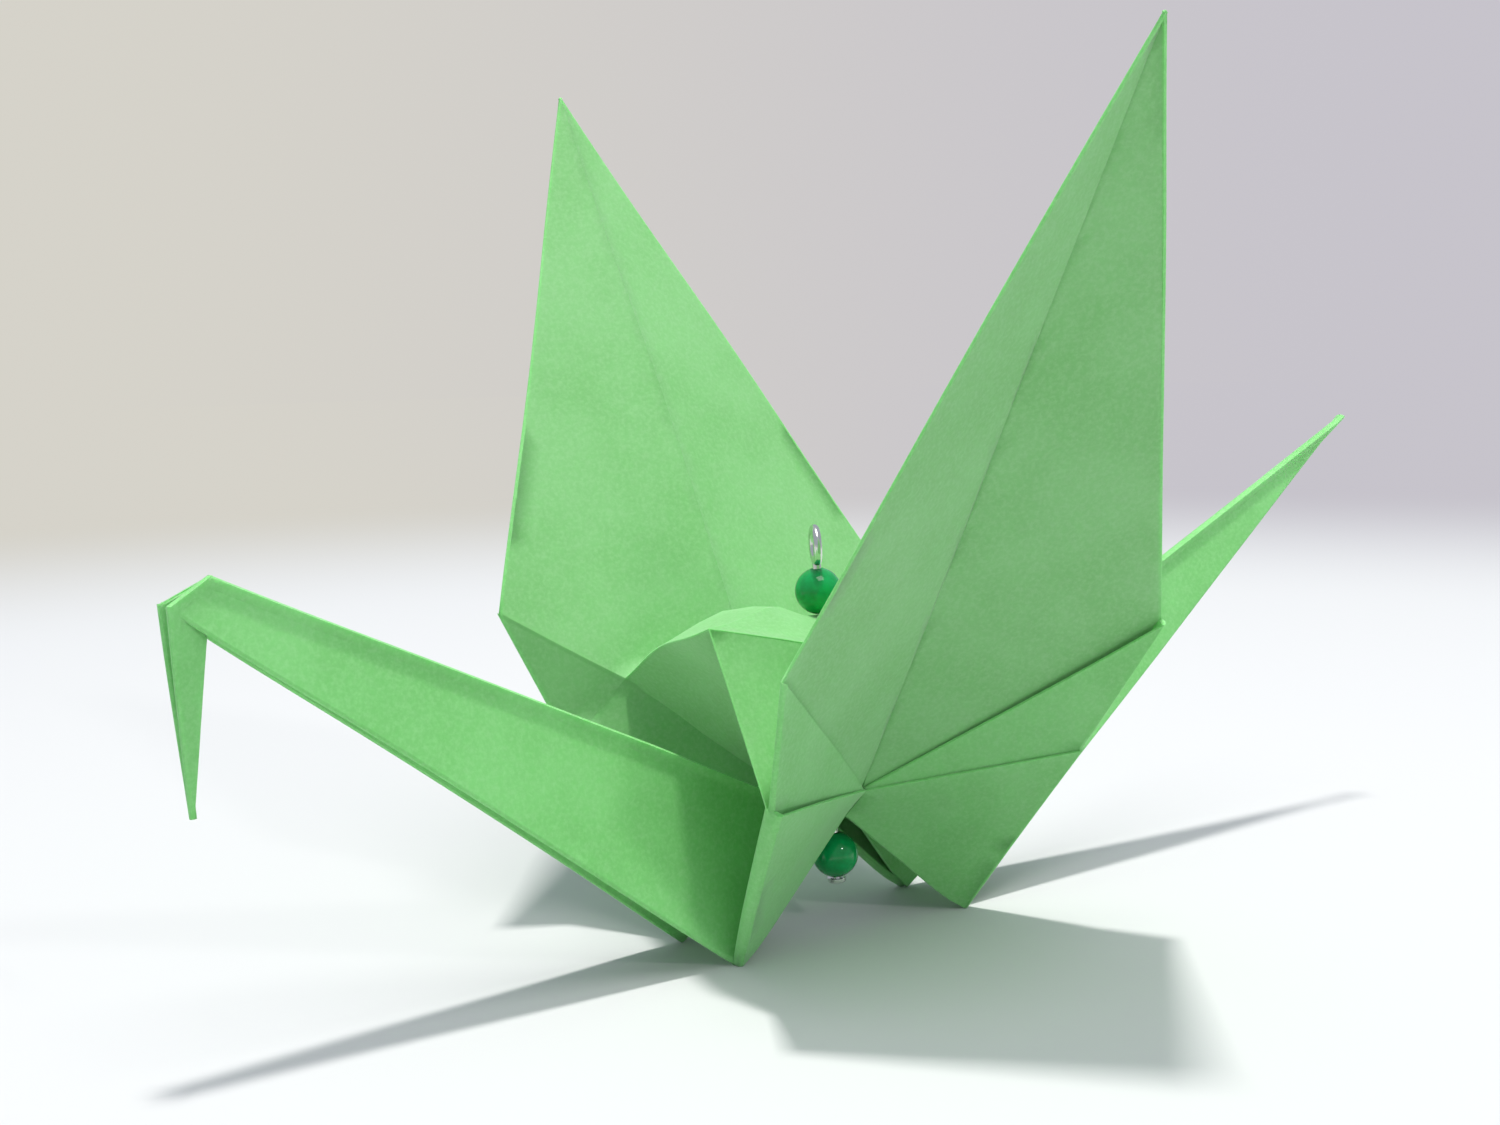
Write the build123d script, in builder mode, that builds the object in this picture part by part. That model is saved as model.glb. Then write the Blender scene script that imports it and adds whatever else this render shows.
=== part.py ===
from build123d import *
from math import sin, cos, sqrt, radians, tan
import os

# Traditional folded paper crane that stands on four foot points, with a beaded eye pin
# through its back. Frame: +Z up, the head points to -X, the tail to +X, one wing leans to
# -Y and the other to +Y. The origin is on the ground, midway between the four foot points.

# The sheet.
sheet_side = 150.0        # the square before folding
paper = 0.10              # thickness of one layer
layer_gap = 0.03          # air between two layers that lie on each other
slit = 0.14               # between two raw edges that meet on a centre line
fold_bulge = 0.22         # how far a folded stack rounds out past its crease

# How far the folded crane is opened, all in the standing pose.
foot_fold = 19.1          # from the shoulder corner down the narrow fold to the foot point
foot_half_length = 12.5   # foot points from the centre, along the neck and tail
foot_half_width = 4.1     # foot points from the centre, across
waist_near, waist_far = 5.3, 5.4        # where the flap corners meet, out from the centre
crotch_half_width = 2.6   # lowest middle point of each side
neck_root, neck_rise = 0.7, 1.9         # where the neck ridge starts: out from the centre,
tail_root, tail_rise = 1.6, 0.2         # and up from where the folds alone would put it
neck_slope, tail_slope = 26.1, 24.6     # degrees above level
neck_length = 58.6        # along its ridge, from the root to the top of the head
shoulder_near, shoulder_far = 14.5, 14.2   # hump corners, out from the centre
wing_root_near, wing_root_far = 20.6, 17.6  # shoulders of the wings, out from the centre
tip_near, tip_far = 39.2, 36.2          # wing tips, out from the centre
wing_bow = 0.992          # the wings curve a little, which brings their tips lower
tip_shift_near, tip_shift_far = -0.4, -2.4  # wing tips along the body

foot_rim = 0.25           # the crease ends this far above the ground, inside the folded edge

# The blown-up back.
crown_height = 27.2
crown_near_head = (0.0, 7.4, 12.9)      # each corner from its shoulder corner: in, across, up
crown_far_head = (4.7, 1.7, 5.4)
crown_near_tail = (6.3, 1.6, 7.3)
crown_far_tail = (1.3, 1.7, 4.0)
crown_mid_up = 13.2       # crown edges dip in beside the wings: this far up their centre line
crown_mid_gap = 1.5       # and this far in from it
flank_ease = 1.0          # the flanks bend in by this much halfway, clear of the wings

# The head.
beak_length = 17.3        # from the top of the head to the tip
beak_dip = 82.0           # degrees below level

# Flaps that stand off the wing a little.
wing_flap_lift = 0.55     # tail side of the -Y wing
hump_flap_lift = 0.50     # head side of the -Y wing
rest_lift = 0.06          # all the others

# The pin and the beads.
wire = 0.75
bead_diameter = 4.0
bead_bore = 0.91
loop_inner = 2.1
loop_gap = 0.12           # from the upper bead to the loop
loop_arc = 338.0          # degrees that the loop goes round before it stops short of the shank
loop_turn = 60.0          # the loop's plane, degrees from the neck and tail line
pin_head_diameter = 1.6
pin_head_thickness = 0.4
pin_head_rounding = 0.16
bead_bore_edge = 0.12
pin_foot = (0.8, -0.5)    # where the pin's axis meets the height of the lower bead
low_bead_height = 6.2
bead_play = 0.08          # bead to paper, and bead to pin head
pierced_hole = 0.95


# Flat-folded geometry of one half of a bird base, as shares of the sheet side. x is out
# from the centre line, y is up, and the closed point of the sheet is at the origin.
root = sqrt(2)
hinge_y = -(root - 1) / 2
tip_y = 0.5 + hinge_y
leg_y = -0.5 + hinge_y
n_ang = radians(11.25)


def on_narrow_fold(y):
    return ((y - leg_y) * tan(n_ang), y)


def flat_dist(a, b):
    return sheet_side * sqrt((a[0] - b[0]) ** 2 + (a[1] - b[1]) ** 2)


fold_reach = (0.5 / cos(n_ang))
flat_K = (0.0, leg_y + sqrt(0.25 + hinge_y ** 2))
t_run = -leg_y * cos(radians(45)) / cos(radians(45) - n_ang)
flat_T = (t_run * sin(n_ang), leg_y + t_run * cos(n_ang))
p_lead = (tip_y - leg_y) * sin(radians(22.5)) / sin(radians(180 - 22.5 - 11.25))
flat_P = (p_lead * sin(n_ang), leg_y + p_lead * cos(n_ang))
flat_R = (0.0, hinge_y)
flat_A = (0.0, tip_y)
flat_B = (0.0, leg_y)
foot_share = foot_fold / sheet_side
flat_F = (flat_T[0] - foot_share * sin(n_ang), flat_T[1] - foot_share * cos(n_ang))
flat_Q = on_narrow_fold(hinge_y)


def V(*a):
    return Vector(*a)


def level_point(y, a, da, b, db, side):
    """Point in the plane Y = y at da from a and db from b, on the given side of a to b."""
    ra = sqrt(da * da - (a.Y - y) ** 2)
    rb = sqrt(db * db - (b.Y - y) ** 2)
    dx, dz = b.X - a.X, b.Z - a.Z
    d = sqrt(dx * dx + dz * dz)
    s = (ra * ra - rb * rb + d * d) / (2 * d)
    h = sqrt(ra * ra - s * s)
    return V(a.X + (dx * s - side * dz * h) / d, y, a.Z + (dz * s + side * dx * h) / d)


# Where the corners of the folds stand. s is -1 for the -Y side and +1 for the +Y side,
# e is -1 for the head end and +1 for the tail end.
pt = {}
for s, side in ((-1, "near"), (1, "far")):
    waist = waist_near if s < 0 else waist_far
    shoulder = shoulder_near if s < 0 else shoulder_far
    tip = tip_near if s < 0 else tip_far
    shift = tip_shift_near if s < 0 else tip_shift_far
    kf = flat_dist(flat_K, flat_F)
    rf = flat_dist(flat_R, flat_F)
    kz = foot_rim + sqrt(kf ** 2 - foot_half_length ** 2 - (waist - foot_half_width) ** 2)
    rz = foot_rim + sqrt(rf ** 2 - foot_half_length ** 2 - (crotch_half_width - foot_half_width) ** 2)
    K = pt["K", s] = V(0, s * waist, kz)
    R = pt["R", s] = V(0, s * crotch_half_width, rz)
    ka = flat_dist(flat_K, flat_A) * wing_bow
    A = pt["A", s] = V(shift, s * tip, kz + sqrt(ka ** 2 - (tip - waist) ** 2 - shift ** 2))
    for e in (-1, 1):
        F = pt["F", s, e] = V(e * foot_half_length, s * foot_half_width, foot_rim)
        T = pt["T", s, e] = level_point(s * shoulder, F, foot_fold, K,
                                        flat_dist(flat_K, flat_T), -e)
        pt["Q", s, e] = F + (T - F) * (flat_dist(flat_Q, flat_F) / foot_fold)
        root_out = wing_root_near if s < 0 else wing_root_far
        pt["P", s, e] = level_point(s * root_out, T, flat_dist(flat_T, flat_P), K,
                                    flat_dist(flat_K, flat_P), -e)
corner = {(-1, -1): crown_near_head, (1, -1): crown_far_head,
          (-1, 1): crown_near_tail, (1, 1): crown_far_tail}
for (s, e), (inwards, across, up) in corner.items():
    pt["C", s, e] = pt["T", s, e] + V(-e * inwards, -s * across, up)
for s in (-1, 1):
    line = (pt["A", s] - pt["K", s]).normalized()
    beside = pt["K", s] + line * crown_mid_up
    pt["M", s] = V(0, beside.Y - s * crown_mid_gap, beside.Z)
O = V(0, 0, crown_height)
for e in (-1, 1):
    rf = flat_dist(flat_R, flat_F)
    out, rise = (neck_root, neck_rise) if e < 0 else (tail_root, tail_rise)
    sz = foot_rim + sqrt(rf ** 2 - (foot_half_length - out) ** 2 - foot_half_width ** 2)
    pt["S", e] = V(e * out, 0, sz + rise)
    slope = radians(neck_slope if e < 0 else tail_slope)
    run = neck_length + beak_length if e < 0 else flat_dist(flat_R, flat_B)
    pt["B", e] = pt["S", e] + V(e * cos(slope), 0, sin(slope)) * run
# The neck ends in a head, turned down between its own two sides: the crease runs from the
# top of the head to the throat, and the tip keeps its distance from both.
H = pt["S", -1] + (pt["B", -1] - pt["S", -1]).normalized() * neck_length
beak_tip = H + V(-cos(radians(beak_dip)), 0, -sin(radians(beak_dip))) * beak_length
halfway, fold_dir = (pt["B", -1] + beak_tip) / 2, (pt["B", -1] - beak_tip).normalized()
throat = {}
for s in (-1, 1):
    F, along = pt["F", s, -1], pt["B", -1] - pt["F", s, -1]
    throat[s] = F + along * ((halfway - F).dot(fold_dir) / along.dot(fold_dir))

step = paper + layer_gap          # from one layer to the next
lay = step / 2


def solid_of(points, triangles):
    """Closed solid from corner points and triangles."""
    skin = []
    for tri in triangles:
        a, b, c = (points[i] for i in tri)
        if (b - a).cross(c - a).length > 1e-7:
            skin.append(Face(Wire.make_polygon([a, b, c], close=True)))
    body = Solid(Shell(skin))
    return body if body.volume > 0 else body.fix()


def leaf(mids, ups, lows, highs, triangles):
    """Sheet of paper layers: corner points, their outward directions, offsets, triangles."""
    n = len(mids)
    pts = [m + u * h for m, u, h in zip(mids, ups, highs)]
    pts += [m + u * h for m, u, h in zip(mids, ups, lows)]
    out, rim = [], {}
    for a, b, c in triangles:
        if (mids[b] - mids[a]).cross(mids[c] - mids[a]).dot(ups[a] + ups[b] + ups[c]) < 0:
            b, c = c, b
        out += [(a, b, c), (n + a, n + c, n + b)]
        for i, j in ((a, b), (b, c), (c, a)):
            rim[i, j] = 1
    for i, j in rim:
        if (j, i) not in rim:
            out += [(j, i, n + i), (j, n + i, n + j)]
    return solid_of(pts, out)


def fold_edge(mids, ups, outs, lows, highs, bulge):
    """Rounded folded edge along a row of corner points."""
    shape = [(-0.2, 0.0), (0.0, 0.0), (0.75, 0.2), (1.0, 0.5), (0.75, 0.8), (0.0, 1.0), (-0.2, 1.0)]
    pts = []
    for m, u, o, lo, hi in zip(mids, ups, outs, lows, highs):
        for x, y in shape:
            reach = bulge * x if x > 0 else x
            pts.append(m + o * reach + u * (lo + (hi - lo) * y))
    k, tri = len(shape), []
    for r in range(len(mids) - 1):
        for i in range(k):
            j = (i + 1) % k
            p, q, u, v = r * k + i, r * k + j, (r + 1) * k + i, (r + 1) * k + j
            tri += [(p, q, v), (p, v, u)]
    for i in range(1, k - 1):
        last = (len(mids) - 1) * k
        tri += [(0, i + 1, i), (last, last + i, last + i + 1)]
    return solid_of(pts, tri)


def average_ups(points, triangles, guide):
    """Mean direction of the triangles at each corner, on the side that guide gives."""
    sums = [V(0, 0, 0) for p in points]
    for a, b, c in triangles:
        nrm = (points[b] - points[a]).cross(points[c] - points[a]).normalized()
        if nrm.dot(guide) < 0:
            nrm = nrm * -1
        for i in (a, b, c):
            sums[i] += nrm
    return [v.normalized() for v in sums]


# Each side of the crane as a fan of flat panels about its waist: wing tip, shoulder, hump
# corner, foot, crotch. The same panels carry every layer of that side.
panel = {}
for s in (-1, 1):
    names = [("A", s), ("K", s), ("R", s)] + [(c, s, e) for e in (-1, 1) for c in "PTF"]
    base = [pt[k] for k in names]
    tri = []
    for e in (0, 3):
        tri += [(0, 3 + e, 1), (3 + e, 4 + e, 1), (4 + e, 5 + e, 1), (1, 5 + e, 2)]
    ups = average_ups(base, tri, V(0, s, 0))
    for k, m, u in zip(names, base, ups):
        panel[k] = (m, u)

pieces = []                       # every layer and folded edge of the one sheet


def side_leaf(s, e, keys, triangles, low, high, lifts=None, apart=0.0):
    mids, ups, lows, highs = [], [], [], []
    for i, c in enumerate(keys):
        m, u = panel[(c, s)] if c in "AKR" else panel[(c, s, e)]
        if c in "AKR":
            m = m + V(e * apart, 0, 0)
        d = lifts[i] if lifts else 0.0
        mids.append(m)
        ups.append(u)
        lows.append(low + d)
        highs.append(high + d)
    return leaf(mids, ups, lows, highs, triangles)


half = paper / 2
for s in (-1, 1):
    for e in (-1, 1):
        # outer half of the wing, with its raw edge on the centre line
        pieces.append(side_leaf(s, e, "AKRPTF", [(0, 3, 1), (3, 4, 1), (4, 5, 1), (1, 5, 2)],
                                lay - half, lay + half, apart=slit / 2))
        # narrow flap of the wing, two layers, and narrow flap of the hump over it, two more
        w = wing_flap_lift if (s, e) == (-1, 1) else rest_lift
        h = hump_flap_lift if (s, e) == (-1, -1) else rest_lift
        wl = {"P": w, "T": w * 0.35, "K": rest_lift / 2, "R": 0.0, "F": 0.0}
        hl = {"T": wl["T"] + h, "K": rest_lift, "R": 0.0, "F": 0.0}
        pieces.append(side_leaf(s, e, "PTKRF", [(0, 1, 2), (1, 4, 2), (2, 4, 3)],
                                3 * lay - half, 5 * lay + half, [wl[c] for c in "PTKRF"], slit / 2))
        pieces.append(side_leaf(s, e, "TKRF", [(0, 3, 1), (1, 3, 2)],
                                7 * lay - half, 9 * lay + half, [hl[c] for c in "TKRF"], slit / 2))
        # folded edges: wing edge, then the narrow fold, first wing layers, then all of them
        mids = [panel["A", s][0]] + [panel[c, s, e][0] for c in "PTF"]
        ups = [panel["A", s][1]] + [panel[c, s, e][1] for c in "PTF"]
        centre = [panel["K", s][0]] * 4
        outs = []
        for i in range(4):
            a, b = mids[max(i - 1, 0)], mids[min(i + 1, 3)]
            o = (b - a).cross(ups[i]).normalized()
            outs.append(o if o.dot(mids[i] - centre[i]) > 0 else o * -1)
        pieces.append(fold_edge(mids[:2], ups[:2], outs[:2], [-lay - half] * 2, [lay + half] * 2,
                                fold_bulge / 2))
        pieces.append(fold_edge(mids[1:], ups[1:], outs[1:], [-lay - half] * 3,
                                [5 * lay + half + wl[c] for c in "PTF"], fold_bulge))
        pieces.append(fold_edge(mids[2:], ups[2:], outs[2:], [-5 * lay - half] * 2,
                                [9 * lay + half + hl[c] for c in "TF"], fold_bulge * 1.3))
        # lower edge from foot to crotch, where the stack turns up into neck or tail
        low = [panel["F", s, e], panel["R", s]]
        run = low[1][0] - low[0][0]
        down = [run.cross(u).normalized() for m, u in low]
        down = [d if d.Z < 0 else d * -1 for d in down]
        pieces.append(fold_edge([m for m, u in low], [u for m, u in low], down,
                                [-5 * lay - half] * 2, [9 * lay + half] * 2, fold_bulge))

# The unbroken middle of the sheet: inner layers of both wings, flanks of the hump, the crown
# and the two end walls that run down to the roots of neck and tail.
def flat_leaf(points, triangles, guide):
    ups = average_ups(points, triangles, guide)
    pieces.append(leaf(points, ups, [-half] * len(points), [half] * len(points), triangles))


def crease(a, b, thick=0.09):
    """Slim bar along a fold, which joins the two panels that meet there."""
    run = (b - a).normalized()
    x = run.cross(V(0.3, 0.5, 0.8)).normalized()
    y = run.cross(x)
    ring = [x * thick * cos(radians(60 * i)) + y * thick * sin(radians(60 * i)) for i in range(6)]
    pts = [a - run * half + r for r in ring] + [b + run * half + r for r in ring]
    tri = []
    for i in range(6):
        j = (i + 1) % 6
        tri += [(i, j, 6 + j), (i, 6 + j, 6 + i)]
    for i in range(1, 5):
        tri += [(0, i + 1, i), (6, 6 + i, 7 + i)]
    pieces.append(solid_of(pts, tri))


inner = {}
for s in (-1, 1):
    inner["R", s] = panel["R", s][0] - panel["R", s][1] * 2 * lay
    inner["M", s] = pt["M", s]
    for e in (-1, 1):
        (mf, uf), (mt, ut) = panel["F", s, e], panel["T", s, e]
        t = (pt["Q", s, e] - mf).length / (mt - mf).length
        uq = uf * (1 - t) + ut * t
        panel["Q", s, e] = (pt["Q", s, e], uq)
        inner["Q", s, e] = pt["Q", s, e] - uq * 2 * lay
        inner["H", s, e] = mt - ut * 3 * lay
        inner["W", s, e] = mt - ut * 5 * lay
        inner["F", s, e] = mf - uf * 5 * lay
        inner["C", s, e] = pt["C", s, e]
    keys = [("A", s), ("K", s), ("R", s)] + [(c, s, e) for e in (-1, 1) for c in "PTQ"]
    mids, ups = [panel[k][0] for k in keys], [panel[k][1] for k in keys]
    tri = []
    for i in (3, 6):
        tri += [(0, i, 1), (i, i + 1, 1), (i + 1, i + 2, 1), (1, i + 2, 2)]
    pieces.append(leaf(mids, ups, [-lay - half] * 9, [-lay + half] * 9, tri))
    for e in (-1, 1):
        middle = (inner["H", s, e] + inner["M", s]) / 2
        inner["N", s, e] = middle - V(0, s * flank_ease, 0)
    keys = [("R", s), ("M", s)] + [(c, s, e) for e in (-1, 1) for c in "CHQN"]
    tri = []
    for i in (2, 6):
        tri += [(i, 1, i + 3), (1, 0, i + 3), (0, i + 1, i + 3), (i + 1, i, i + 3), (i + 1, i + 2, 0)]
    flat_leaf([inner[k] for k in keys], tri, V(0, s, 0))
    for e in (-1, 1):
        crease(inner["Q", s, e], inner["R", s])
        crease(inner["C", s, e], inner["M", s])
        crease(inner["C", s, e], panel["T", s, e][0] - panel["T", s, e][1] * 4 * lay)
for e in (-1, 1):
    ring = [pt["S", e]] + [inner[c, s, e] for s in (-1, 1) for c in "CWF"]
    flat_leaf(ring, [(1, 4, 0), (1, 2, 0), (2, 3, 0), (4, 5, 0), (5, 6, 0)], V(e, 0, 0))
    crease(inner["C", -1, e], inner["C", 1, e])
    for s in (-1, 1):
        crease(inner["F", s, e], pt["S", e])
ring = [O, inner["C", -1, -1], inner["M", -1], inner["C", -1, 1], inner["C", 1, 1],
        inner["M", 1], inner["C", 1, -1]]
flat_leaf(ring, [(0, i, i % 6 + 1) for i in range(1, 7)], V(0, 0, 1))

# Neck, head and tail: each side is a stack of four layers, folded along its lower edge.
stack = 4 * step - layer_gap
grip = 0.22                       # how far a stack runs on into the fold that carries it


def arm_side(corners, up, fold, low=-stack, high=0.0):
    """One side of the neck, tail or beak, with a rounded folded edge between two corners."""
    n = len(corners)
    tri = [(0, i, i + 1) for i in range(1, n - 1)]
    pieces.append(leaf(corners, [up] * n, [low] * n, [high] * n, tri))
    a, b = corners[fold[0]], corners[fold[1]]
    o = (b - a).cross(up).normalized()
    mid = sum(corners, V(0, 0, 0)) / n
    o = o if o.dot(mid - a) < 0 else o * -1
    pieces.append(fold_edge([a, b], [up] * 2, [o] * 2, [low] * 2, [high] * 2, fold_bulge))


for e in (-1, 1):
    S, B = pt["S", e], pt["B", e]
    for s in (-1, 1):
        F = pt["F", s, e]
        up = (B - S).cross(F - S).normalized()
        up = up if up.Y * s > 0 else up * -1
        S1 = S + (S - B).normalized() * grip
        F1 = F + (F - B).normalized() * grip * 0.3
        end = [throat[s], H] if e < 0 else [B]
        arm_side([S1, F1] + end, up, (1, 2))
        if e < 0:
            up = (beak_tip - H).cross(throat[s] - H).normalized()
            up = up if up.Y * s > 0 else up * -1
            arm_side([H, throat[s], beak_tip], up, (1, 2), -stack * 0.5, stack * 0.5)

pin_plane = Plane(origin=O, x_dir=(1, 0, 0),
                  z_dir=O - V(pin_foot[0], pin_foot[1], low_bead_height))

with BuildPart() as folded_crane:
    add(pieces)
    with Locations(pin_plane):
        Cylinder(pierced_hole / 2, crown_height / 8, mode=Mode.SUBTRACT)
    split(bisect_by=Plane.XY, keep=Keep.TOP)

# Heights along the pin, measured up and down from the point where it goes through the back.
top_bead_at = half + bead_play + bead_diameter / 2
low_bead_at = -(O - V(pin_foot[0], pin_foot[1], low_bead_height)).length
loop_mean = (loop_inner + wire) / 2
loop_at = top_bead_at + bead_diameter / 2 + loop_gap + loop_mean + wire / 2
pin_end = low_bead_at - bead_diameter / 2 - bead_play - pin_head_thickness

with BuildPart() as head_pin:
    with BuildSketch(pin_plane.offset(pin_end)):
        Circle(wire / 2)
    extrude(amount=loop_at - loop_mean - pin_end)
    with BuildSketch(pin_plane.offset(pin_end)):
        Circle(pin_head_diameter / 2)
    extrude(amount=pin_head_thickness)
    underside = head_pin.faces().sort_by(Axis(pin_plane.origin, pin_plane.z_dir))[0]
    fillet(underside.edges(), pin_head_rounding)
    loop_dir = V(cos(radians(loop_turn)), sin(radians(loop_turn)), 0)
    side_dir = pin_plane.z_dir.cross(loop_dir).normalized()
    loop_plane = Plane(origin=pin_plane.offset(loop_at).origin,
                       x_dir=side_dir.cross(pin_plane.z_dir), z_dir=side_dir * -1)
    section = Plane(origin=loop_plane.origin, x_dir=pin_plane.z_dir * -1, z_dir=loop_plane.x_dir)
    with BuildSketch(section):
        with Locations((loop_mean, 0)):
            Circle(wire / 2)
    revolve(axis=Axis(loop_plane.origin, loop_plane.z_dir), revolution_arc=loop_arc)


def bead_at(height):
    with BuildPart(pin_plane.offset(height)) as bead:
        Sphere(bead_diameter / 2)
        Cylinder(bead_bore / 2, bead_diameter * 2, mode=Mode.SUBTRACT)
        chamfer(bead.edges().filter_by(GeomType.CIRCLE), bead_bore_edge)
    return bead


top_bead = bead_at(top_bead_at)
bottom_bead = bead_at(low_bead_at)

os.makedirs("parts", exist_ok=True)
folded_crane.part.label = "folded_crane"
export_step(folded_crane.part, "parts/folded_crane.step")
head_pin.part.label = "head_pin"
export_step(head_pin.part, "parts/head_pin.step")
top_bead.part.label = "top_bead"
export_step(top_bead.part, "parts/top_bead.step")
bottom_bead.part.label = "bottom_bead"
export_step(bottom_bead.part, "parts/bottom_bead.step")
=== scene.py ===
from math import cos, pi, radians, sin

import bpy
import bmesh
from mathutils import Matrix, Vector, noise


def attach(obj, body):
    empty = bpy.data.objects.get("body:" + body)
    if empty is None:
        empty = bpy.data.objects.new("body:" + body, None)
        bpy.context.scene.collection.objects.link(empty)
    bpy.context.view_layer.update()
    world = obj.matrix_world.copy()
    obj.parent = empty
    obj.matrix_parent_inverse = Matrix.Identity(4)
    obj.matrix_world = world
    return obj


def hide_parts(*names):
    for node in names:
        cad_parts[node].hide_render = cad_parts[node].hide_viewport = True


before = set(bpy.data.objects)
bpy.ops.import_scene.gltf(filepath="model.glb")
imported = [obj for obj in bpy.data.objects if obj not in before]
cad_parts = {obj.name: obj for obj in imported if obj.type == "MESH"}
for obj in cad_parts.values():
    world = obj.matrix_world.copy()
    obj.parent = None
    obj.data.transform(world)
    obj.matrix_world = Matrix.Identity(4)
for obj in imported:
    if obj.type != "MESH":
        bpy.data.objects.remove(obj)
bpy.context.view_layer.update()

MM = 0.001

# Pin: the line that it and the beads turn about, and the sizes of its wire.
back_hole = Vector((0.0, 0.0, 27.2)) * MM
low_bead_centre = Vector((0.8, -0.5, 6.2)) * MM
pin_up = (back_hole - low_bead_centre).normalized()
wire_radius = 0.375 * MM
bead_radius = 2.0 * MM
bore_radius = 0.455 * MM
bore_round = 0.12 * MM
top_bead_up = 2.13 * MM    # its middle above the hole in the back
eye_up = 3.92 * MM         # the eye's middle above the upper bead's
pin_end_down = 2.48 * MM   # the pin's end below the lower bead's middle
top_bead_centre = back_hole + pin_up * top_bead_up
eye_radius = 1.425 * MM
eye_centre = top_bead_centre + pin_up * eye_up
eye_turn = radians(60)
eye_gap = radians(22)
pin_head_radius = 0.8 * MM
pin_head_height = 0.4 * MM
pin_head_round = 0.16 * MM
pin_end = low_bead_centre - pin_up * pin_end_down

# Fold corners of the near wing and the far wing: pressed lines run from waist to shoulders,
# and two raw edges meet on the line from waist to tip.
near_waist = Vector((0.0, -5.3, 13.1)) * MM
far_waist = Vector((0.0, 5.4, 13.1)) * MM
near_shoulders = [Vector((x, -20.6, 26.9)) * MM for x in (-19.7, 19.7)]
far_shoulders = [Vector((x, 17.6, 27.7)) * MM for x in (-21.2, 21.2)]
near_tip = Vector((-0.4, -39.2, 72.4)) * MM
far_tip = Vector((-2.4, 36.2, 74.0)) * MM

# Colours, all linear.
paper_green = (0.224, 0.610, 0.196, 1.0)
# paper_green_deep is also the colour of the painted shadow along the folds.
paper_green_deep = (0.190, 0.556, 0.161, 1.0)
paper_green_worn = (0.350, 0.720, 0.320, 1.0)
emerald = (0.004, 0.420, 0.110, 1.0)
emerald_deep = (0.003, 0.300, 0.070, 1.0)
silver = (0.72, 0.72, 0.70, 1.0)
floor_white = (0.65, 0.65, 0.655, 1.0)
sky_cool = (0.82, 0.90, 1.0, 1.0)
backdrop_warm = (0.67, 0.65, 0.59, 1.0)
backdrop_cool = (0.57, 0.55, 0.60, 1.0)

# The photograph's view, and the lamps: direction from the crane, size, power and colour.
camera_place = Vector((-102.9, -132.1, 53.0)) * MM
camera_yaw, camera_pitch, camera_roll = radians(-35.91), radians(7.19), radians(-1.33)
camera_lens = 47.5
across_view = Vector((0.81, -0.586, 0.0))
lamp_distance = 0.9
lamp_aim = Vector((0.0, 0.0, 0.025))
lamps = {
    "overhead": ((0.02, 0.03, 1.0), 0.07, 6.9, (1.0, 0.99, 0.96)),
    "above_front": ((-0.05, -0.32, 0.95), 0.40, 2.1, (1.0, 0.99, 0.97)),
    "front": ((0.08, -0.82, 0.565), 0.07, 0.9, (1.0, 0.98, 0.96)),
}


def new_material(name):
    """Empty node material: its nodes, its links and its shader."""
    made = bpy.data.materials.new(name)
    made.use_nodes = True
    nodes, links = made.node_tree.nodes, made.node_tree.links
    return made, nodes, links, nodes["Principled BSDF"]


def put_in_scene(name, data):
    obj = bpy.data.objects.new(name, data)
    bpy.context.scene.collection.objects.link(obj)
    return obj


def noise_at(nodes, links, place, scale, detail=3.0, rough=0.55):
    """Noise over Object coordinates, its scale in patches per metre."""
    made = nodes.new("ShaderNodeTexNoise")
    made.inputs["Scale"].default_value = scale
    made.inputs["Detail"].default_value = detail
    made.inputs["Roughness"].default_value = rough
    links.new(place, made.inputs["Vector"])
    return made.outputs["Fac"]


def blend_colour(nodes, links, share, first, second):
    """Mix of two colours, each a socket or a fixed colour."""
    mix = nodes.new("ShaderNodeMix")
    mix.data_type = "RGBA"
    links.new(share, mix.inputs["Factor"])
    for socket, colour in ((mix.inputs[6], first), (mix.inputs[7], second)):
        if isinstance(colour, tuple):
            socket.default_value = colour
        else:
            links.new(colour, socket)
    return mix.outputs[2]


def narrowed(nodes, links, value, low, high, out_low=0.0, out_high=1.0):
    """Value stretched from low..high to out_low..out_high."""
    made = nodes.new("ShaderNodeMapRange")
    made.interpolation_type = "SMOOTHSTEP"
    limits = {"From Min": low, "From Max": high, "To Min": out_low, "To Max": out_high}
    for name, number in limits.items():
        made.inputs[name].default_value = number
    links.new(value, made.inputs["Value"])
    return made.outputs["Result"]


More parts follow.
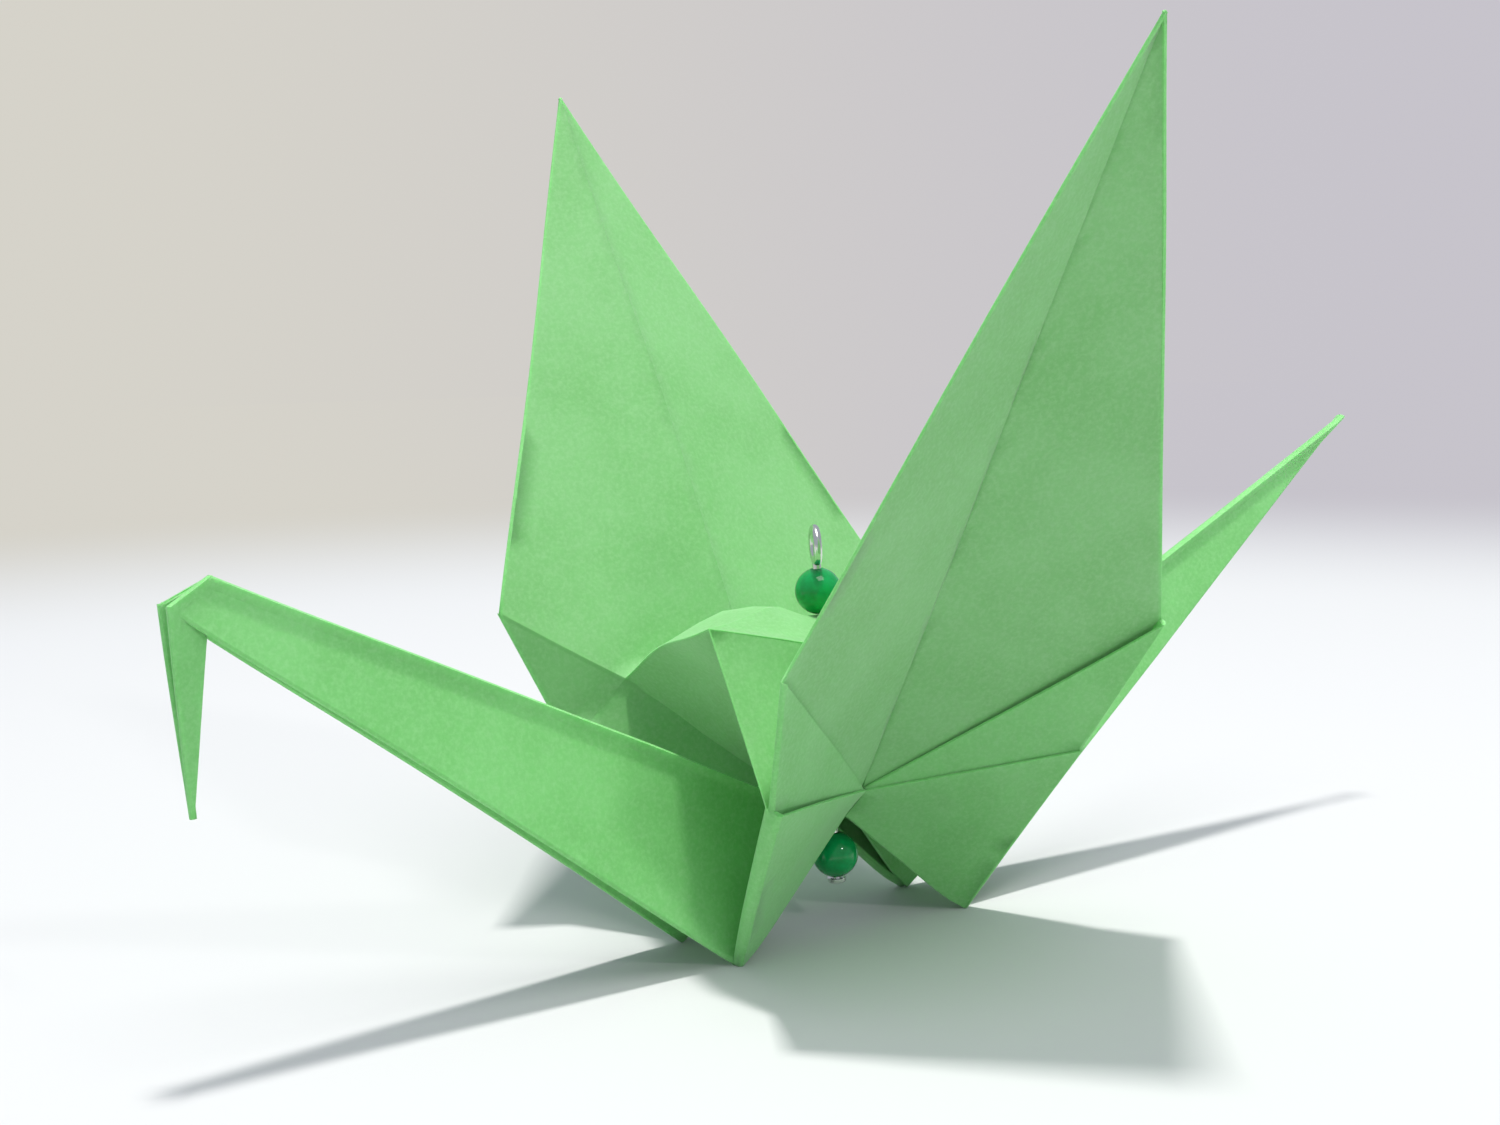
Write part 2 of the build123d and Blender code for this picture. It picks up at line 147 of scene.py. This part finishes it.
def fold_line_group():
    """Shader group: how far a point is from the straight fold between two corners."""
    group = bpy.data.node_groups.new("distance_to_fold", "ShaderNodeTree")
    for name in ("Point", "Start", "End"):
        group.interface.new_socket(name, in_out="INPUT", socket_type="NodeSocketVector")
    group.interface.new_socket("Distance", in_out="OUTPUT", socket_type="NodeSocketFloat")
    nodes, links = group.nodes, group.links
    given, given_out = nodes.new("NodeGroupInput"), nodes.new("NodeGroupOutput")

    def vector_step(operation, a, b):
        node = nodes.new("ShaderNodeVectorMath")
        node.operation = operation
        links.new(a, node.inputs[0])
        if b is not None:
            links.new(b, node.inputs[3 if operation == "SCALE" else 1])
        return node

    to_point = vector_step("SUBTRACT", given.outputs["Point"], given.outputs["Start"])
    run = vector_step("SUBTRACT", given.outputs["End"], given.outputs["Start"])
    along = vector_step("DOT_PRODUCT", to_point.outputs[0], run.outputs[0])
    whole = vector_step("DOT_PRODUCT", run.outputs[0], run.outputs[0])
    share = nodes.new("ShaderNodeMath")
    share.operation = "DIVIDE"
    share.use_clamp = True
    links.new(along.outputs["Value"], share.inputs[0])
    links.new(whole.outputs["Value"], share.inputs[1])
    nearest = vector_step("SCALE", run.outputs[0], share.outputs[0])
    off = vector_step("SUBTRACT", to_point.outputs[0], nearest.outputs[0])
    length = vector_step("LENGTH", off.outputs[0], None)
    links.new(length.outputs["Value"], given_out.inputs[0])
    return group


def distance_to_folds(nodes, links, place, group, folds):
    """Distance to the nearest of several pressed fold lines."""
    nearest = None
    for start, end in folds:
        node = nodes.new("ShaderNodeGroup")
        node.node_tree = group
        links.new(place, node.inputs["Point"])
        node.inputs["Start"].default_value = start
        node.inputs["End"].default_value = end
        if nearest is None:
            nearest = node.outputs["Distance"]
        else:
            least = nodes.new("ShaderNodeMath")
            least.operation = "MINIMUM"
            links.new(nearest, least.inputs[0])
            links.new(node.outputs["Distance"], least.inputs[1])
            nearest = least.outputs[0]
    return nearest


def bump_from(nodes, links, height, depth, strength, onto=None):
    """Normal of a height field, laid over another normal if one is given."""
    made = nodes.new("ShaderNodeBump")
    made.inputs["Strength"].default_value = strength
    made.inputs["Distance"].default_value = depth
    links.new(height, made.inputs["Height"])
    if onto is not None:
        links.new(onto, made.inputs["Normal"])
    return made.outputs["Normal"]


def folding_paper():
    """Thin dyed paper that glows a little: short fibres, faint clouding, and painted shadow darkening
    the pressed folds.
    """
    made, nodes, links, shader = new_material("folding_paper")
    place = nodes.new("ShaderNodeTexCoord").outputs["Object"]
    clouds = noise_at(nodes, links, place, 90, 4, 0.6)
    fibres = noise_at(nodes, links, place, 2600, 3, 0.7)
    dyed = blend_colour(nodes, links, narrowed(nodes, links, clouds, 0.35, 0.65),
                        paper_green, paper_green_deep)
    speckled = blend_colour(nodes, links, narrowed(nodes, links, fibres, 0.35, 0.75, 0.0, 0.35),
                            dyed, paper_green_worn)
    folds = [(near_waist, corner) for corner in near_shoulders]
    folds += [(far_waist, corner) for corner in far_shoulders]
    off = distance_to_folds(nodes, links, place, fold_line_group(), folds)
    pressed = narrowed(nodes, links, off, 0.05 * MM, 0.35 * MM, 1.0, 0.0)
    # Painted shadow: the paper turns deeper green along the folds from waist to shoulders, where the
    # flaps' edges shade the gap beneath them.
    painted_fold_shadow = narrowed(nodes, links, off, 0.08 * MM, 0.45 * MM, 0.55, 0.0)
    coloured = blend_colour(nodes, links, painted_fold_shadow, speckled, paper_green_deep)
    links.new(coloured, shader.inputs["Base Color"])
    fine = bump_from(nodes, links, fibres, 0.02 * MM, 0.25)
    links.new(bump_from(nodes, links, pressed, 0.05 * MM, 0.4, fine), shader.inputs["Normal"])
    shader.inputs["Roughness"].default_value = 0.62
    shader.inputs["Specular IOR Level"].default_value = 0.35
    shader.inputs["Subsurface Weight"].default_value = 0.35
    shader.inputs["Subsurface Radius"].default_value = (0.35, 1.0, 0.35)
    shader.inputs["Subsurface Scale"].default_value = 1.0 * MM
    shader.inputs["Sheen Weight"].default_value = 0.12
    shader.inputs["Sheen Roughness"].default_value = 0.5
    return made


def bead_glass():
    """Clouded emerald glass with a polished surface."""
    made, nodes, links, shader = new_material("emerald_glass")
    place = nodes.new("ShaderNodeTexCoord").outputs["Object"]
    clouds = noise_at(nodes, links, place, 700, 3, 0.6)
    clouded = narrowed(nodes, links, clouds, 0.35, 0.7)
    links.new(blend_colour(nodes, links, clouded, emerald, emerald_deep), shader.inputs["Base Color"])
    links.new(bump_from(nodes, links, clouds, 0.01 * MM, 0.08), shader.inputs["Normal"])
    shader.inputs["Roughness"].default_value = 0.06
    shader.inputs["IOR"].default_value = 1.5
    shader.inputs["Transmission Weight"].default_value = 0.2
    shader.inputs["Specular IOR Level"].default_value = 0.4
    return made


def pin_silver():
    """Bright drawn wire with fine draw marks."""
    made, nodes, links, shader = new_material("bright_wire")
    place = nodes.new("ShaderNodeTexCoord").outputs["Object"]
    stretch = nodes.new("ShaderNodeMapping")
    stretch.inputs["Scale"].default_value = (1.0, 1.0, 0.08)
    links.new(place, stretch.inputs["Vector"])
    marks = noise_at(nodes, links, stretch.outputs["Vector"], 9000, 2, 0.5)
    shader.inputs["Base Color"].default_value = silver
    shader.inputs["Metallic"].default_value = 1.0
    links.new(narrowed(nodes, links, marks, 0.3, 0.7, 0.14, 0.24), shader.inputs["Roughness"])
    links.new(bump_from(nodes, links, marks, 0.004 * MM, 0.2), shader.inputs["Normal"])
    return made


def keep_as_piece(obj, body, slot_name, *nodes):
    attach(obj, body)
    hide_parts(*nodes)


def smooth_by_angle(mesh, degrees):
    for face in mesh.polygons:
        face.use_smooth = True
    mesh.set_sharp_from_angle(angle=radians(degrees))


def risen(value, full):
    """0 at or below nothing, 1 from full up, straight between them."""
    return min(1.0, max(0.0, value) / full)


def crane_sheet(material):
    """The folded sheet, cut finer, with what the hand that folded it left in the paper.

    Slight waves, raw edges pressed close together on the wings' centre lines, a back puffed
    up beside the pin, and an arch over the lower bead.
    """
    merge_reach, longest_edge, cut_rounds, crease = 0.002 * MM, 2.5 * MM, 7, 24
    wave, wave_size, wave_seed = 0.30 * MM, 26.0 * MM, 7
    calm_near_pin, calm_near_floor = 6.0 * MM, 5.0 * MM
    slit_reach, slit_left_open, slit_start = 0.10 * MM, 0.15, 0.5 * MM
    puff_centre, puff_reach, puff_height = Vector((-7.5, 2.5)) * MM, 5.5 * MM, 2.6 * MM
    puff_floor, puff_ease, pin_rest = 17.0 * MM, 6.0 * MM, 2.2 * MM
    arch_height, arch_half_length, arch_side = 2.4 * MM, 10.0 * MM, 8.0 * MM
    arch_end, arch_ease = 12.8 * MM, 5.0 * MM

    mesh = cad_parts["folded_crane"].data.copy()
    form = bmesh.new()
    form.from_mesh(mesh)
    bmesh.ops.remove_doubles(form, verts=form.verts, dist=merge_reach)
    for _ in range(cut_rounds):
        long_edges = [e for e in form.edges if e.calc_length() > longest_edge]
        if not long_edges:
            break
        bmesh.ops.subdivide_edges(form, edges=long_edges, cuts=1)
        bmesh.ops.triangulate(form, faces=[f for f in form.faces if len(f.verts) > 3])

    noise.seed_set(wave_seed)
    for v in form.verts:
        waist, tip = (near_waist, near_tip) if v.co.y < 0 else (far_waist, far_tip)
        line_x = tip.x * (v.co.z - waist.z) / (tip.z - waist.z)
        if abs(v.co.y) > abs(waist.y) + slit_start and abs(v.co.x - line_x) < slit_reach:
            v.co.x = line_x + (v.co.x - line_x) * slit_left_open
        from_pin = (v.co - back_hole).length
        give = risen(from_pin, calm_near_pin) * risen(v.co.z, calm_near_floor)
        puff = 2.0 ** (-((v.co.xy - puff_centre).length / puff_reach) ** 2)
        puff *= risen(v.co.z - puff_floor, puff_ease) * risen(from_pin - pin_rest, calm_near_pin)
        arch = 0.0
        if abs(v.co.y) <= arch_side:
            arch = max(0.0, 1.0 - abs(v.co.x) / arch_half_length) * risen(arch_end - v.co.z, arch_ease)
        v.co += noise.noise_vector(v.co / wave_size) * wave * give
        v.co.z += arch_height * arch
        v.co.z += puff_height * puff
    form.to_mesh(mesh)
    form.free()
    smooth_by_angle(mesh, crease)
    mesh.materials.clear()
    mesh.materials.append(material)
    sheet = put_in_scene("crane_sheet", mesh)
    keep_as_piece(sheet, "crane", "green_paper", "folded_crane")


def spun_profile(name, profile, axis_point, axis, steps):
    """Closed profile of (radius, height) spun about a line."""
    form = bmesh.new()
    turn = Vector((0, 0, 1)).rotation_difference(axis).to_matrix().to_4x4()
    place = Matrix.Translation(axis_point) @ turn
    rings = []
    for i in range(steps):
        a = 2 * pi * i / steps
        rings.append([form.verts.new(place @ Vector((r * cos(a), r * sin(a), h))) for r, h in profile])
    corners = len(profile)
    for i in range(steps):
        here, after = rings[i], rings[(i + 1) % steps]
        for j in range(corners):
            k = (j + 1) % corners
            form.faces.new((here[j], after[j], after[k], here[k]))
    bmesh.ops.recalc_face_normals(form, faces=form.faces)
    mesh = bpy.data.meshes.new(name)
    form.to_mesh(mesh)
    form.free()
    return put_in_scene(name, mesh)


def bead(name, centre, body, node, material):
    """Round bead with a drilled bore, its mouth slightly broken."""
    arc_steps, turn_steps, crease = 36, 64, 30
    mouth, mouth_depth = bore_radius + bore_round, bore_round * 0.9
    top = (bead_radius ** 2 - mouth ** 2) ** 0.5
    start = radians(90) - (mouth / bead_radius)
    outside = []
    for i in range(arc_steps + 1):
        a = start - 2 * start * i / arc_steps
        outside.append((bead_radius * cos(a), bead_radius * sin(a)))
    bore = [(bore_radius, height) for height in (mouth_depth - top, 0.0, top - mouth_depth)]
    made = spun_profile(name, outside + bore, centre, pin_up, turn_steps)
    smooth_by_angle(made.data, crease)
    made.data.materials.append(material)
    keep_as_piece(made, body, "bead_glass", node)


def wire_tree():
    """Geometry Nodes: round wire along a path, closed at its ends."""
    tree = bpy.data.node_groups.new("wire_along_path", "GeometryNodeTree")
    tree.interface.new_socket("Path", in_out="INPUT", socket_type="NodeSocketGeometry")
    for name, kind in (("Wire Radius", "Float"), ("Sides", "Int"), ("Finish", "Material")):
        tree.interface.new_socket(name, in_out="INPUT", socket_type="NodeSocket" + kind)
    tree.interface.new_socket("Wire", in_out="OUTPUT", socket_type="NodeSocketGeometry")
    nodes, links = tree.nodes, tree.links
    given, made = nodes.new("NodeGroupInput"), nodes.new("NodeGroupOutput")
    section = nodes.new("GeometryNodeCurvePrimitiveCircle")
    links.new(given.outputs["Sides"], section.inputs["Resolution"])
    links.new(given.outputs["Wire Radius"], section.inputs["Radius"])
    sweep = nodes.new("GeometryNodeCurveToMesh")
    sweep.inputs["Fill Caps"].default_value = True
    links.new(given.outputs["Path"], sweep.inputs["Curve"])
    links.new(section.outputs["Curve"], sweep.inputs["Profile Curve"])
    real = nodes.new("GeometryNodeRealizeInstances")
    links.new(sweep.outputs["Mesh"], real.inputs["Geometry"])
    finish = nodes.new("GeometryNodeSetMaterial")
    links.new(real.outputs["Geometry"], finish.inputs["Geometry"])
    links.new(given.outputs["Finish"], finish.inputs["Material"])
    links.new(finish.outputs["Geometry"], made.inputs["Wire"])
    return tree


def socket_id(tree, name):
    sockets = [s for s in tree.interface.items_tree if s.in_out == "INPUT" and s.name == name]
    return sockets[0].identifier


def eye_pin(material):
    """Straight shank with a round eye bent at its top and a small flat head at its foot."""
    bend_steps, wire_sides, head_steps, crease = 40, 20, 40, 40
    shank_reach = eye_radius + 0.5 * MM
    head_hole = 0.02 * MM
    flat = Vector((cos(eye_turn), sin(eye_turn), 0.0))
    side = (flat - pin_up * flat.dot(pin_up)).normalized()
    route = [pin_end + pin_up * pin_head_height * 0.5, eye_centre - pin_up * shank_reach]
    for i in range(bend_steps + 1):
        a = (2 * pi - eye_gap) * i / bend_steps
        route.append(eye_centre - pin_up * eye_radius * cos(a) + side * eye_radius * sin(a))
    line = bpy.data.curves.new("eye_pin_path", "CURVE")
    line.dimensions = "3D"
    spline = line.splines.new("POLY")
    spline.points.add(len(route) - 1)
    for point, p in zip(spline.points, route):
        point.co = (*p, 1.0)
    path = put_in_scene("eye_pin_path", line)
    tree = wire_tree()
    wire = path.modifiers.new("wire", "NODES")
    wire.node_group = tree
    wire[socket_id(tree, "Wire Radius")] = wire_radius
    wire[socket_id(tree, "Sides")] = wire_sides
    wire[socket_id(tree, "Finish")] = material
    seen = path.evaluated_get(bpy.context.evaluated_depsgraph_get())
    mesh = bpy.data.meshes.new_from_object(seen)
    bpy.data.objects.remove(path)
    pin = put_in_scene("eye_pin", mesh)

    flat_part = pin_head_radius - pin_head_round
    profile = [(head_hole, 0.0), (flat_part, 0.0)]
    for degrees in range(15, 91, 15):
        a = radians(degrees)
        profile.append((flat_part + pin_head_round * sin(a), pin_head_round - pin_head_round * cos(a)))
    profile += [(pin_head_radius, pin_head_height), (head_hole, pin_head_height)]
    head = spun_profile("pin_head", profile, pin_end, pin_up, head_steps)
    both = bmesh.new()
    both.from_mesh(mesh)
    both.from_mesh(head.data)
    both.to_mesh(mesh)
    both.free()
    bpy.data.objects.remove(head)
    smooth_by_angle(mesh, crease)
    if not mesh.materials:
        mesh.materials.append(material)
    keep_as_piece(pin, "pin", "pin_metal", "head_pin")


def seen_by(nodes, links, *rays):
    """1 where the ray is of one of the named kinds."""
    path = nodes.new("ShaderNodeLightPath")
    seen = path.outputs[rays[0]]
    for name in rays[1:]:
        either = nodes.new("ShaderNodeMath")
        either.operation = "MAXIMUM"
        links.new(seen, either.inputs[0])
        links.new(path.outputs[name], either.inputs[1])
        seen = either.outputs[0]
    return seen


def backdrop_colour(nodes, links, place):
    """Warm grey on the left of the view, turning cooler to the right."""
    across = nodes.new("ShaderNodeVectorMath")
    across.operation = "DOT_PRODUCT"
    across.inputs[1].default_value = across_view
    level = nodes.new("ShaderNodeVectorMath")
    level.operation = "NORMALIZE"
    links.new(place, level.inputs[0])
    links.new(level.outputs[0], across.inputs[0])
    return blend_colour(nodes, links, narrowed(nodes, links, across.outputs["Value"], -0.35, 0.35),
                        backdrop_warm, backdrop_cool)


def studio_floor():
    """Pale floor that fades into the backdrop and keeps the object's shadow."""
    fade_from, fade_to, floor_reach = 0.20, 0.42, 1.2
    made, nodes, links, shader = new_material("pale_floor")
    place = nodes.new("ShaderNodeTexCoord").outputs["Object"]
    reach = nodes.new("ShaderNodeVectorMath")
    reach.operation = "LENGTH"
    links.new(place, reach.inputs[0])
    far = narrowed(nodes, links, reach.outputs["Value"], fade_from, fade_to)
    seen = seen_by(nodes, links, "Is Camera Ray", "Is Glossy Ray", "Is Transmission Ray")
    shader.inputs["Base Color"].default_value = floor_white
    shader.inputs["Roughness"].default_value = 0.9
    shader.inputs["Specular IOR Level"].default_value = 0.1
    glow = nodes.new("ShaderNodeEmission")
    links.new(backdrop_colour(nodes, links, place), glow.inputs["Color"])
    faded = nodes.new("ShaderNodeMixShader")
    share = nodes.new("ShaderNodeMath")
    share.operation = "MULTIPLY"
    links.new(seen, share.inputs[0])
    links.new(far, share.inputs[1])
    links.new(share.outputs[0], faded.inputs["Fac"])
    links.new(shader.outputs["BSDF"], faded.inputs[1])
    links.new(glow.outputs["Emission"], faded.inputs[2])
    links.new(faded.outputs["Shader"], nodes["Material Output"].inputs["Surface"])
    bpy.ops.mesh.primitive_circle_add(vertices=96, radius=floor_reach, fill_type="NGON")
    floor = bpy.context.object
    floor.name = "floor"
    floor.data.materials.append(made)


def world_light(strength):
    """Cool even light, with the backdrop in its place where the camera looks."""
    world = bpy.data.worlds.new("studio")
    bpy.context.scene.world = world
    world.use_nodes = True
    nodes, links = world.node_tree.nodes, world.node_tree.links
    lit, seen = nodes["Background"], nodes.new("ShaderNodeBackground")
    lit.inputs["Color"].default_value = sky_cool
    lit.inputs["Strength"].default_value = strength
    links.new(backdrop_colour(nodes, links, nodes.new("ShaderNodeTexCoord").outputs["Generated"]),
              seen.inputs["Color"])
    mix = nodes.new("ShaderNodeMixShader")
    links.new(seen_by(nodes, links, "Is Camera Ray", "Is Transmission Ray"), mix.inputs["Fac"])
    links.new(lit.outputs["Background"], mix.inputs[1])
    links.new(seen.outputs["Background"], mix.inputs[2])
    links.new(mix.outputs["Shader"], nodes["World Output"].inputs["Surface"])


def lamp(name, towards, size, power, colour):
    """Square area lamp on a line from the middle of the crane."""
    light = bpy.data.lights.new(name, "AREA")
    light.size = size
    light.energy = power
    light.color = colour
    obj = put_in_scene(name, light)
    obj.location = lamp_aim + Vector(towards).normalized() * lamp_distance
    obj.rotation_euler = Vector(towards).to_track_quat("Z", "Y").to_euler()


def photo_camera():
    yaw, pitch, roll = camera_yaw, camera_pitch, camera_roll
    ahead = Vector((-sin(yaw) * cos(pitch), cos(yaw) * cos(pitch), -sin(pitch)))
    right = Vector((cos(yaw), sin(yaw), 0.0))
    up = right.cross(ahead)
    side = right * cos(roll) + up * sin(roll)
    top = up * cos(roll) - right * sin(roll)
    data = bpy.data.cameras.new("photo_camera")
    data.sensor_width = 36.0
    data.lens = camera_lens
    data.clip_start, data.clip_end = 0.005, 10.0
    turned = Matrix((side, top, -ahead)).transposed().to_4x4()
    cam = put_in_scene("photo_camera", data)
    cam.matrix_world = Matrix.Translation(camera_place) @ turned
    bpy.context.scene.camera = cam


photo_camera()
paper, glass, metal = folding_paper(), bead_glass(), pin_silver()
crane_sheet(paper)
eye_pin(metal)
bead("upper_bead_round", top_bead_centre, "upper_bead", "top_bead", glass)
bead("lower_bead_round", low_bead_centre, "lower_bead", "bottom_bead", glass)
studio_floor()
world_light(0.52)
for lamp_name, settings in lamps.items():
    lamp(lamp_name, *settings)

bpy.context.scene.view_settings.view_transform = "Standard"
